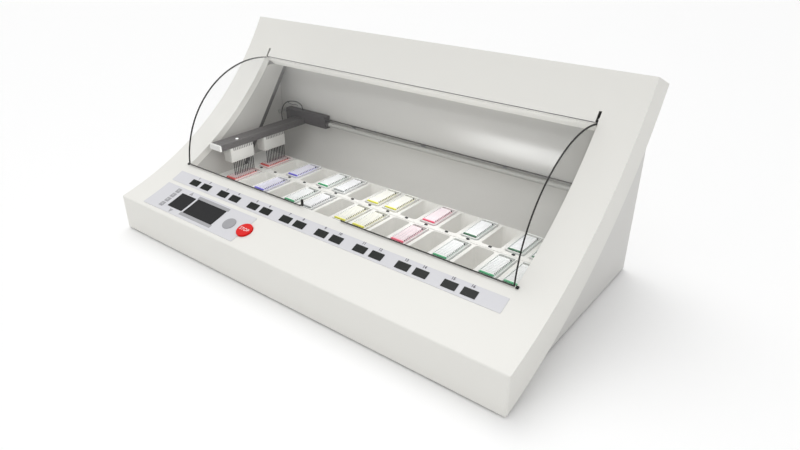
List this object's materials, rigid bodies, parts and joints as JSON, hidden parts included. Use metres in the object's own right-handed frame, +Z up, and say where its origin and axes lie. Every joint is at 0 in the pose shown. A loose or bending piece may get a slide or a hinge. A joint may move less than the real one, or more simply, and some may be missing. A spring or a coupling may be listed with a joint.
{
  "type": "slide staining workstation",
  "caption": "Bench-top slide processing station with a sloping fascia, a clear hinged hood, rows of slide racks and a travelling dispensing gantry.",
  "frame": {"origin": "middle of the footprint at the underside of the feet", "axes": "+X along the width to the viewer's right, +Y from the front face to the back, +Z up"},
  "size_m": [1, 0.528, 0.4181],
  "materials": {
    "fascia_paint": "smooth off-white coat",
    "body_paint": "smooth light grey coat",
    "chamber_paint": "even light grey coat",
    "tray_plastic": "moulded light grey",
    "plated_steel": "plated",
    "rubber": "black",
    "dark_rubber": "dark",
    "dark_plastic": "fine matt",
    "dark_metal": "black coat",
    "clear_plastic": "clear moulded",
    "slide_glass": "ground edges",
    "hood_acrylic": "clear bent sheet",
    "aluminium": "turned",
    "carriage_grey": "satin graphite",
    "beam_graphite": "satin graphite",
    "white_plastic": "smooth",
    "indicator_lens": "pale lens",
    "needle_steel": "drawn",
    "label_lavender": "printed film",
    "display_dark": "dark window",
    "board_green": "solder mask",
    "rack_red": "moulded",
    "rack_violet": "moulded",
    "rack_green": "moulded",
    "rack_grey": "moulded",
    "rack_yellow": "moulded",
    "rack_pink": "moulded",
    "rack_dark_green": "moulded",
    "key_grey": "moulded",
    "key_red": "moulded"
  },
  "bodies": {
    "cabinet": {"base_plate": "plated_steel", "body_side_left": "body_paint", "body_side_right": "body_paint", "centre_bar": "chamber_paint", "chamber_back": "chamber_paint", "chamber_cheeks": "chamber_paint", "chamber_front_wall": "chamber_paint", "chamber_sides": "chamber_paint", "circuit_boards": "board_green", "control_panel": "label_lavender", "corner_stops": "dark_rubber", "deck_plate": "chamber_paint", "display_strip": "label_lavender", "dosing_pump": "dark_metal", "drive_belt": "dark_rubber", "fascia_shell": "fascia_paint", "gantry_motor": "dark_metal", "glass_slides": "slide_glass", "guide_rail": "plated_steel", "hinge_brackets": "dark_plastic", "hinge_pins": "plated_steel", "mains_inlet": "dark_plastic", "panel_screens": "display_dark", "position_marks": "dark_plastic", "power_supply": "plated_steel", "racks_dark_green": "rack_dark_green", "racks_green": "rack_green", "racks_grey": "rack_grey", "racks_pink": "rack_pink", "racks_red": "rack_red", "racks_violet": "rack_violet", "racks_yellow": "rack_yellow", "rail_brackets": "plated_steel", "reagent_tanks": "clear_plastic", "rear_panel": "body_paint", "rubber_feet": "rubber", "station_tray_front": "tray_plastic", "station_tray_rear": "tray_plastic", "status_displays": "display_dark", "wall_seals": "dark_rubber"},
    "hood": {"hood_sheet": "hood_acrylic", "hood_side_left": "hood_acrylic", "hood_side_right": "hood_acrylic", "hood_trims": "dark_plastic"},
    "gantry": {"carriage_housing": "carriage_grey", "runner_block": "dark_plastic", "gantry_beam": "beam_graphite", "beam_end_cap": "white_plastic", "beam_indicator": "indicator_lens", "dispense_heads": "white_plastic", "needles": "needle_steel", "gantry_cable": "dark_rubber"},
    "drive_pulley": {"drive_pulley": "aluminium"},
    "idler_pulley": {"idler_pulley": "aluminium"},
    "menu_key_1": {"menu_key_1": "key_grey"},
    "menu_key_2": {"menu_key_2": "key_grey"},
    "menu_key_3": {"menu_key_3": "key_grey"},
    "menu_key_4": {"menu_key_4": "key_grey"},
    "round_key": {"round_key": "key_grey"},
    "stop_key": {"stop_key": "key_red"}
  },
  "joints": [
    {"name": "hood_hinge", "type": "hinge", "parent": "cabinet", "child": "hood", "pos_m": [0, 0.14455, 0.33984], "axis": [-1, 0, 0], "range_deg": [0, 80]},
    {"name": "gantry_slide", "type": "slide", "parent": "cabinet", "child": "gantry", "axis": [1, 0, 0], "range_m": [0, 0.756]},
    {"name": "drive_pulley_spin", "type": "hinge", "parent": "cabinet", "child": "drive_pulley", "pos_m": [-0.4525, 0.209, 0.173], "axis": [0, 1, 0], "range_deg": [-2, 5316.8]},
    {"name": "idler_pulley_spin", "type": "hinge", "parent": "cabinet", "child": "idler_pulley", "pos_m": [0.4525, 0.209, 0.173], "axis": [0, 1, 0], "range_deg": [-2, 5316.8]},
    {"name": "menu_key_1_press", "type": "slide", "parent": "cabinet", "child": "menu_key_1", "axis": [0, 0.3432, -0.9393], "range_m": [0, 0.001], "stiffness_N_per_m": 300, "springref_m": -0.001},
    {"name": "menu_key_2_press", "type": "slide", "parent": "cabinet", "child": "menu_key_2", "axis": [0, 0.3234, -0.9463], "range_m": [0, 0.001], "stiffness_N_per_m": 300, "springref_m": -0.001},
    {"name": "menu_key_3_press", "type": "slide", "parent": "cabinet", "child": "menu_key_3", "axis": [0, 0.3035, -0.9528], "range_m": [0, 0.001], "stiffness_N_per_m": 300, "springref_m": -0.001},
    {"name": "menu_key_4_press", "type": "slide", "parent": "cabinet", "child": "menu_key_4", "axis": [0, 0.2835, -0.959], "range_m": [0, 0.001], "stiffness_N_per_m": 300, "springref_m": -0.001},
    {"name": "round_key_press", "type": "slide", "parent": "cabinet", "child": "round_key", "axis": [0, 0.3107, -0.9505], "range_m": [0, 0.001], "stiffness_N_per_m": 300, "springref_m": -0.001},
    {"name": "stop_key_press", "type": "slide", "parent": "cabinet", "child": "stop_key", "axis": [0, 0.3107, -0.9505], "range_m": [0, 0.001], "stiffness_N_per_m": 500, "springref_m": -0.001}
  ],
  "couplings": [
    {"joint": "drive_pulley_spin", "follows": "gantry_slide", "rad_per_m": 122.7},
    {"joint": "idler_pulley_spin", "follows": "gantry_slide", "rad_per_m": 122.7}
  ]
}
